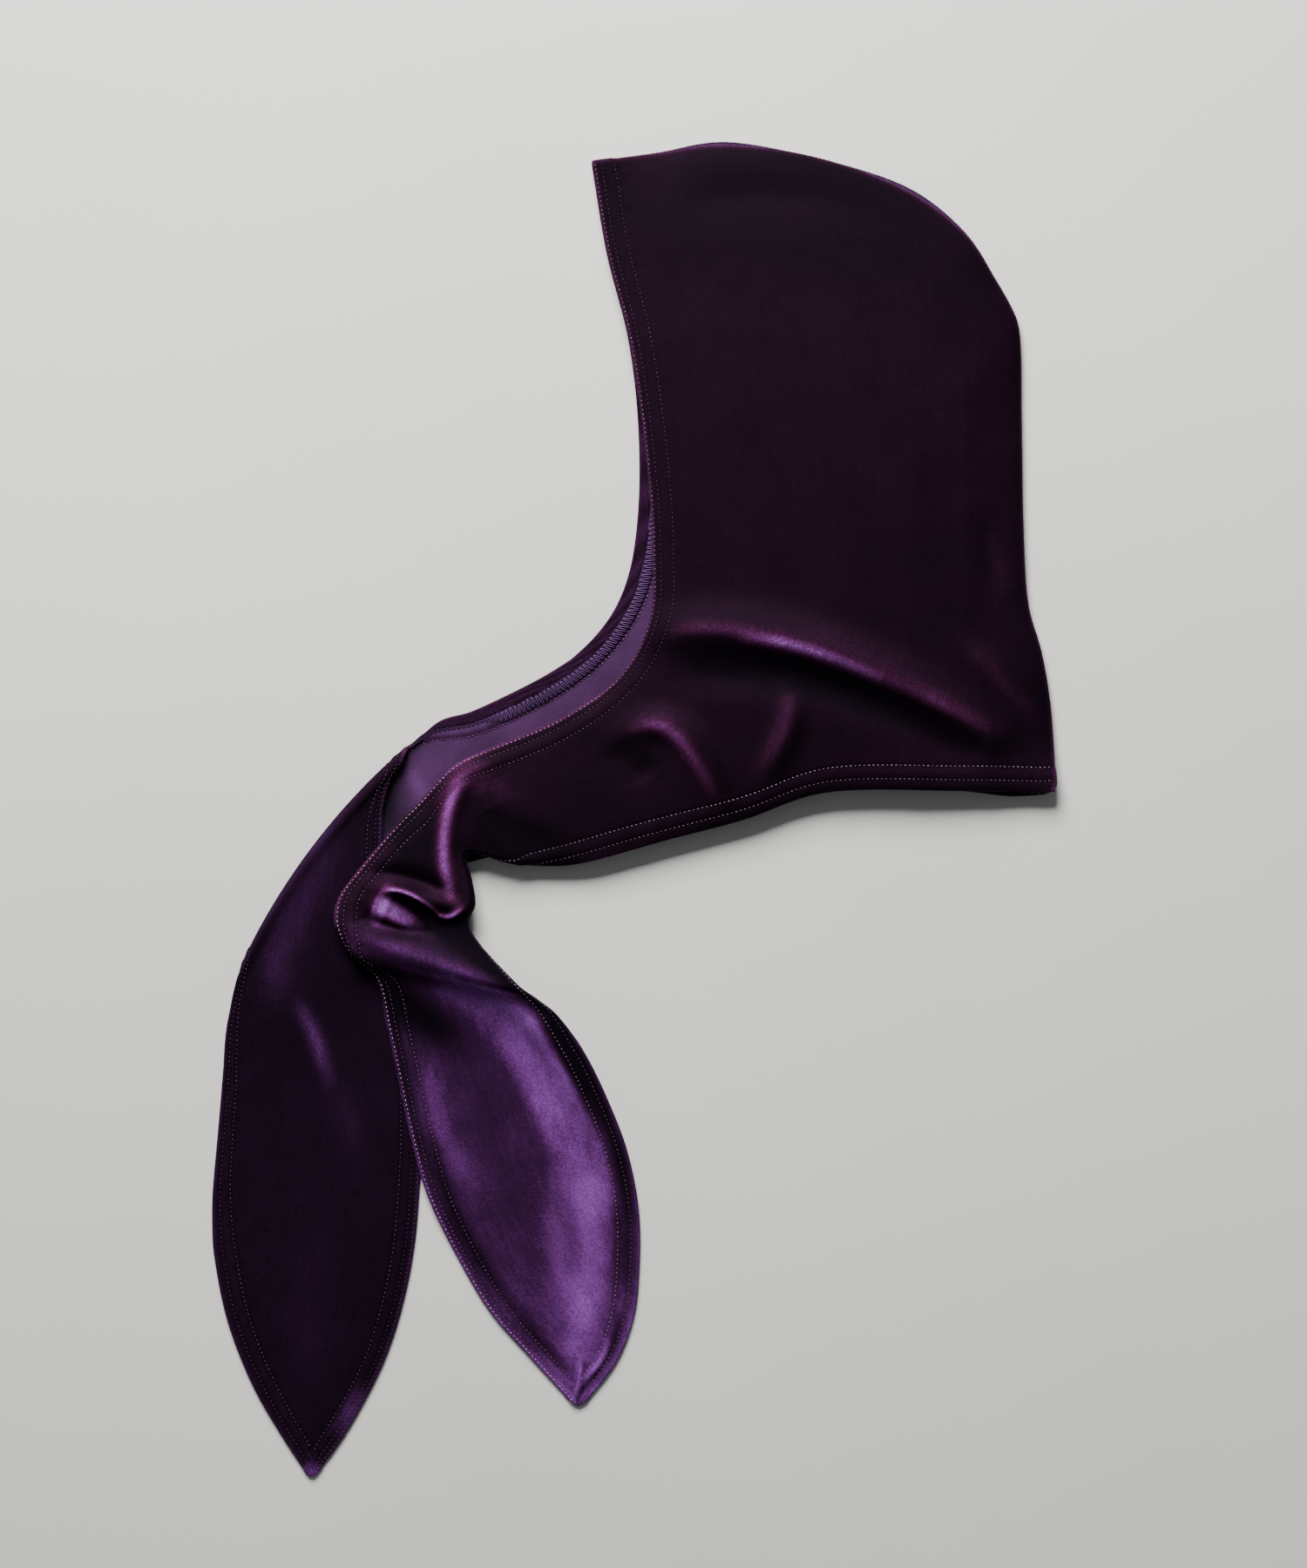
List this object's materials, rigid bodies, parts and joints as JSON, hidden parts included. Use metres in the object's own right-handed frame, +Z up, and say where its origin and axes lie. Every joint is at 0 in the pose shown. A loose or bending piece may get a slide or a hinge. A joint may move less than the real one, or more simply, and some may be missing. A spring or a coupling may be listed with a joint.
{
  "type": "velvet hood",
  "caption": "Soft hood of stretch velvet with a centre seam and long pointed ties, lying flat on its side with one tie crossing the other.",
  "frame": {"origin": "middle of the whole hood and its ties in plan, on the surface that the hood lies on", "axes": "+Y towards the crown, +X towards the back of the head, +Z up from the surface"},
  "size_m": [0.4821, 0.7623, 0.0263],
  "materials": {
    "pile": "dark purple stretch velvet, pile side out",
    "pile_light": "the same velvet where its nap lies towards the light",
    "knit_back": "mauve knitted back of the velvet"
  },
  "bodies": {
    "root": {"right_side": "pile", "left_side": "knit_back", "right_tie": "pile_light", "left_tie": "pile"}
  },
  "joints": []
}
